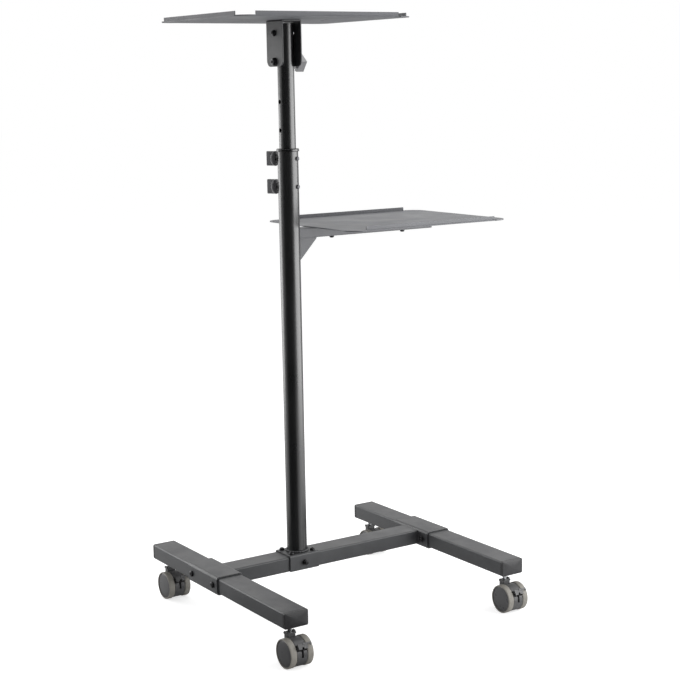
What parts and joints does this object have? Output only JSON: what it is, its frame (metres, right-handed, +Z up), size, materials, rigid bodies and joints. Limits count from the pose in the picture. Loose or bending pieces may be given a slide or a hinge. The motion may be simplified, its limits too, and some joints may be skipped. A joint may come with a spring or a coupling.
{
  "type": "audio visual cart",
  "caption": "Tall wheeled stand with a tilting top tray on a telescopic round mast, a fixed side shelf, two long base legs joined by a crossbar, and braked twin-wheel casters.",
  "frame": {"origin": "on the floor, under the middle of the bounding box", "axes": "+X runs along the crossbar from the long mast side to the shelf side, +Y points to the back of the cart, +Z points up along the mast"},
  "size_m": [0.6382, 0.544, 1.1589],
  "materials": {
    "frame_black": "fine satin black powder coat on steel",
    "mast_black": "smooth satin black powder coat on round steel tube",
    "plate_black": "fine textured charcoal powder coat on sheet steel",
    "plastic_black": "moulded black plastic with a fine grain",
    "wheel_grey": "light grey moulded tread on a darker grey hub",
    "bolt_black": "black oxide steel",
    "steel_bright": "bright zinc-plated steel"
  },
  "bodies": {
    "frame": {"left_leg": "frame_black", "right_leg": "frame_black", "plug_front_left": "plastic_black", "plug_back_left": "plastic_black", "plug_front_right": "plastic_black", "plug_back_right": "plastic_black", "crossbar": "frame_black", "left_sleeve": "frame_black", "right_sleeve": "frame_black", "sleeve_bolt_front_left": "bolt_black", "sleeve_bolt_back_left": "bolt_black", "sleeve_bolt_front_right": "bolt_black", "sleeve_bolt_back_right": "bolt_black", "mast_saddle": "frame_black", "saddle_bolt_front_left": "bolt_black", "saddle_bolt_back_left": "bolt_black", "saddle_bolt_front_right": "bolt_black", "saddle_bolt_back_right": "bolt_black", "saddle_cross_bolt": "bolt_black", "outer_mast_tube": "mast_black", "mast_collar": "plastic_black", "shelf_arm": "frame_black", "shelf_gusset": "frame_black", "lower_shelf": "plate_black", "shelf_screw_inner": "bolt_black", "shelf_screw_outer": "bolt_black", "stem_front_left": "steel_bright", "stem_back_left": "steel_bright", "stem_front_right": "steel_bright", "stem_back_right": "steel_bright"},
    "mast_upper": {"inner_mast_tube": "mast_black", "inner_mast_guide": "plastic_black", "tilt_bolt": "bolt_black"},
    "tray_head": {"tray_bracket": "frame_black", "top_tray": "plate_black", "tray_screw_front": "bolt_black", "tray_screw_back": "bolt_black"},
    "tilt_knob_body": {"tilt_knob": "plastic_black"},
    "upper_knob_body": {"upper_clamp_knob": "plastic_black"},
    "lower_knob_body": {"lower_clamp_knob": "plastic_black"},
    "caster_front_left": {"housing_front_left": "plastic_black", "axle_front_left": "steel_bright"},
    "caster_back_left": {"housing_back_left": "plastic_black", "axle_back_left": "steel_bright"},
    "caster_front_right": {"housing_front_right": "plastic_black", "axle_front_right": "steel_bright"},
    "caster_back_right": {"housing_back_right": "plastic_black", "axle_back_right": "steel_bright"},
    "brake_front_left": {"brake_lever_front_left": "plastic_black"},
    "brake_back_left": {"brake_lever_back_left": "plastic_black"},
    "brake_front_right": {"brake_lever_front_right": "plastic_black"},
    "brake_back_right": {"brake_lever_back_right": "plastic_black"},
    "roller_front_left_a": {"wheel_front_left_a": "wheel_grey"},
    "roller_front_left_b": {"wheel_front_left_b": "wheel_grey"},
    "roller_back_left_a": {"wheel_back_left_a": "wheel_grey"},
    "roller_back_left_b": {"wheel_back_left_b": "wheel_grey"},
    "roller_front_right_a": {"wheel_front_right_a": "wheel_grey"},
    "roller_front_right_b": {"wheel_front_right_b": "wheel_grey"},
    "roller_back_right_a": {"wheel_back_right_a": "wheel_grey"},
    "roller_back_right_b": {"wheel_back_right_b": "wheel_grey"}
  },
  "joints": [
    {"name": "mast_slide", "type": "slide", "parent": "frame", "child": "mast_upper", "axis": [0, 0, 1], "range_m": [-0.108, 0.162]},
    {"name": "tray_tilt", "type": "hinge", "parent": "mast_upper", "child": "tray_head", "pos_m": [-0.09895, 0.05174, 1.0721], "axis": [1, 0, 0], "range_deg": [-30, 30]},
    {"name": "tilt_knob_turn", "type": "hinge", "parent": "mast_upper", "child": "tilt_knob_body", "pos_m": [-0.07, 0.05174, 1.0721], "axis": [1, 0, 0], "continuous": true},
    {"name": "upper_knob_turn", "type": "hinge", "parent": "frame", "child": "upper_knob_body", "pos_m": [-0.11302, 0.07936, 0.8891], "axis": [0.454, -0.891, 0], "continuous": true},
    {"name": "lower_knob_turn", "type": "hinge", "parent": "frame", "child": "lower_knob_body", "pos_m": [-0.11302, 0.07936, 0.8351], "axis": [0.454, -0.891, 0], "continuous": true},
    {"name": "caster_front_left_swivel", "type": "hinge", "parent": "frame", "child": "caster_front_left", "pos_m": [-0.28695, -0.22426, 0.06], "axis": [0, 0, 1], "continuous": true},
    {"name": "caster_back_left_swivel", "type": "hinge", "parent": "frame", "child": "caster_back_left", "pos_m": [-0.28695, 0.24474, 0.06], "axis": [0, 0, 1], "continuous": true},
    {"name": "caster_front_right_swivel", "type": "hinge", "parent": "frame", "child": "caster_front_right", "pos_m": [0.21005, -0.22426, 0.06], "axis": [0, 0, 1], "continuous": true},
    {"name": "caster_back_right_swivel", "type": "hinge", "parent": "frame", "child": "caster_back_right", "pos_m": [0.21005, 0.24474, 0.06], "axis": [0, 0, 1], "continuous": true},
    {"name": "brake_front_left_press", "type": "hinge", "parent": "caster_front_left", "child": "brake_front_left", "pos_m": [-0.28695, -0.25247, 0.04205], "axis": [1, 0, 0], "range_deg": [0, 20]},
    {"name": "brake_back_left_press", "type": "hinge", "parent": "caster_back_left", "child": "brake_back_left", "pos_m": [-0.28695, 0.21653, 0.04205], "axis": [1, 0, 0], "range_deg": [0, 20]},
    {"name": "brake_front_right_press", "type": "hinge", "parent": "caster_front_right", "child": "brake_front_right", "pos_m": [0.21005, -0.25247, 0.04205], "axis": [1, 0, 0], "range_deg": [0, 20]},
    {"name": "brake_back_right_press", "type": "hinge", "parent": "caster_back_right", "child": "brake_back_right", "pos_m": [0.21005, 0.21653, 0.04205], "axis": [1, 0, 0], "range_deg": [0, 20]},
    {"name": "roller_front_left_a_spin", "type": "hinge", "parent": "caster_front_left", "child": "roller_front_left_a", "pos_m": [-0.3027, -0.24026, 0.0275], "axis": [1, 0, 0], "continuous": true},
    {"name": "roller_front_left_b_spin", "type": "hinge", "parent": "caster_front_left", "child": "roller_front_left_b", "pos_m": [-0.2712, -0.24026, 0.0275], "axis": [1, 0, 0], "continuous": true},
    {"name": "roller_back_left_a_spin", "type": "hinge", "parent": "caster_back_left", "child": "roller_back_left_a", "pos_m": [-0.3027, 0.22874, 0.0275], "axis": [1, 0, 0], "continuous": true},
    {"name": "roller_back_left_b_spin", "type": "hinge", "parent": "caster_back_left", "child": "roller_back_left_b", "pos_m": [-0.2712, 0.22874, 0.0275], "axis": [1, 0, 0], "continuous": true},
    {"name": "roller_front_right_a_spin", "type": "hinge", "parent": "caster_front_right", "child": "roller_front_right_a", "pos_m": [0.1943, -0.24026, 0.0275], "axis": [1, 0, 0], "continuous": true},
    {"name": "roller_front_right_b_spin", "type": "hinge", "parent": "caster_front_right", "child": "roller_front_right_b", "pos_m": [0.2258, -0.24026, 0.0275], "axis": [1, 0, 0], "continuous": true},
    {"name": "roller_back_right_a_spin", "type": "hinge", "parent": "caster_back_right", "child": "roller_back_right_a", "pos_m": [0.1943, 0.22874, 0.0275], "axis": [1, 0, 0], "continuous": true},
    {"name": "roller_back_right_b_spin", "type": "hinge", "parent": "caster_back_right", "child": "roller_back_right_b", "pos_m": [0.2258, 0.22874, 0.0275], "axis": [1, 0, 0], "continuous": true}
  ]
}
